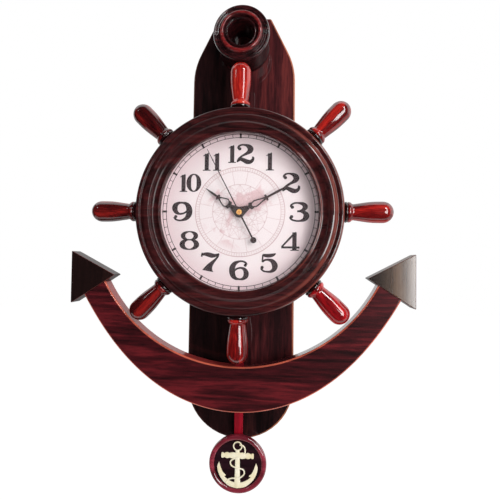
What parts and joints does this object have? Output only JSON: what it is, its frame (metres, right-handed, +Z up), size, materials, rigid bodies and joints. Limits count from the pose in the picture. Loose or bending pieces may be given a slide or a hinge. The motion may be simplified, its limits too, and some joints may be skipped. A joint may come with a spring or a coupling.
{
  "type": "ship wheel wall clock",
  "caption": "Wall clock in lacquered wood: an anchor-shaped board carries a ship's wheel with a dial behind glass, a quartz movement and a swinging pendulum.",
  "frame": {"origin": "on the flat back of the board, on its centre line, 195 mm above the wheel's axis and just below the hanger plate", "axes": "+Z up, the dial faces -Y, the wall is on the +Y side, +X is to the right seen from the front"},
  "size_m": [0.497, 0.0789, 0.7184],
  "materials": {
    "lacquered_wood": "high gloss mahogany lacquer",
    "red_wood": "high gloss red lacquer",
    "dark_wood": "high gloss near-black lacquer",
    "raw_wood": "plain board",
    "dial_sheet": "printed off-white",
    "clear_glass": "clear",
    "hand_sheet": "satin dark brown",
    "brass": "polished",
    "gold_trim": "pale gold",
    "steel_sheet": "plain",
    "copper_winding": "enamelled wire",
    "rubber": "matte",
    "black_plastic": "matte",
    "white_plastic": "plain",
    "circuit_board": "solder mask",
    "battery_jacket": "plain jacket"
  },
  "bodies": {
    "clock": {"shank_board": "lacquered_wood", "hanger_plate": "steel_sheet", "anchor_ring": "lacquered_wood", "anchor_crescent": "lacquered_wood", "fluke_left": "dark_wood", "fluke_right": "dark_wood", "crescent_block_left": "raw_wood", "crescent_block_right": "raw_wood", "wheel_hub": "dark_wood", "wheel_back_plate": "dark_wood", "wheel_rim": "lacquered_wood", "handle_top": "red_wood", "handle_upper_right": "red_wood", "handle_right": "red_wood", "handle_lower_right": "red_wood", "handle_bottom": "red_wood", "handle_lower_left": "red_wood", "handle_left": "red_wood", "handle_upper_left": "red_wood", "dial_backing": "raw_wood", "dial_plate": "dial_sheet", "dial_spacer_ring": "white_plastic", "glass_lens": "clear_glass", "rubber_gasket": "rubber", "hex_nut": "brass", "movement_case": "black_plastic", "movement_cover": "black_plastic", "battery": "battery_jacket", "battery_contact_plus": "steel_sheet", "battery_contact_minus": "steel_sheet", "circuit_board": "circuit_board", "quartz_crystal": "steel_sheet", "motor_stator": "steel_sheet", "coil_core": "steel_sheet", "motor_coil": "copper_winding", "train_bridge": "white_plastic", "pendulum_drive_case": "black_plastic", "pendulum_coil": "copper_winding"},
    "seconds": {"second_wheel": "white_plastic", "second_hand": "hand_sheet", "centre_cap": "brass"},
    "minutes": {"centre_wheel": "white_plastic", "minute_hand": "hand_sheet"},
    "hours": {"hour_wheel": "white_plastic", "hour_hand": "hand_sheet"},
    "third": {"third_wheel": "white_plastic"},
    "fifth": {"fifth_wheel": "white_plastic"},
    "rotor": {"motor_rotor": "steel_sheet"},
    "motion": {"minute_wheel": "white_plastic"},
    "setting": {"setting_knob": "white_plastic"},
    "pendulum": {"pendulum_hanger": "white_plastic", "pendulum_magnet": "steel_sheet", "pendulum_hook": "steel_sheet", "pendulum_rod": "red_wood", "bob_body": "lacquered_wood", "bob_inlay": "dark_wood", "bob_emblem": "gold_trim"}
  },
  "joints": [
    {"name": "second_spin", "type": "hinge", "parent": "clock", "child": "seconds", "pos_m": [0, -0.0582, -0.195], "axis": [0, 1, 0], "continuous": true},
    {"name": "minute_spin", "type": "hinge", "parent": "clock", "child": "minutes", "pos_m": [0, -0.0561, -0.195], "axis": [0, 1, 0], "continuous": true},
    {"name": "hour_spin", "type": "hinge", "parent": "clock", "child": "hours", "pos_m": [0, -0.054, -0.195], "axis": [0, 1, 0], "continuous": true},
    {"name": "third_spin", "type": "hinge", "parent": "clock", "child": "third", "pos_m": [-0.00779, -0.038, -0.1905], "axis": [0, 1, 0], "continuous": true},
    {"name": "fifth_spin", "type": "hinge", "parent": "clock", "child": "fifth", "pos_m": [0.0045, -0.036, -0.18721], "axis": [0, 1, 0], "continuous": true},
    {"name": "rotor_spin", "type": "hinge", "parent": "clock", "child": "rotor", "pos_m": [0.00895, -0.034, -0.18275], "axis": [0, 1, 0], "continuous": true},
    {"name": "motion_spin", "type": "hinge", "parent": "clock", "child": "motion", "pos_m": [0.00752, -0.041, -0.19774], "axis": [0, 1, 0], "continuous": true},
    {"name": "setting_spin", "type": "hinge", "parent": "clock", "child": "setting", "pos_m": [0.01599, -0.04, -0.19848], "axis": [0, 1, 0], "continuous": true},
    {"name": "pendulum_swing", "type": "hinge", "parent": "clock", "child": "pendulum", "pos_m": [0, -0.02475, -0.228], "axis": [0, 1, 0], "range_deg": [-4, 4]}
  ],
  "couplings": [
    {"joint": "minute_spin", "follows": "second_spin", "ratio": 0.016667},
    {"joint": "hour_spin", "follows": "second_spin", "ratio": 0.0013889},
    {"joint": "third_spin", "follows": "second_spin", "ratio": -0.13333},
    {"joint": "fifth_spin", "follows": "second_spin", "ratio": -5},
    {"joint": "rotor_spin", "follows": "second_spin", "ratio": 30},
    {"joint": "motion_spin", "follows": "second_spin", "ratio": -0.0055556},
    {"joint": "setting_spin", "follows": "second_spin", "ratio": 0.013333}
  ]
}
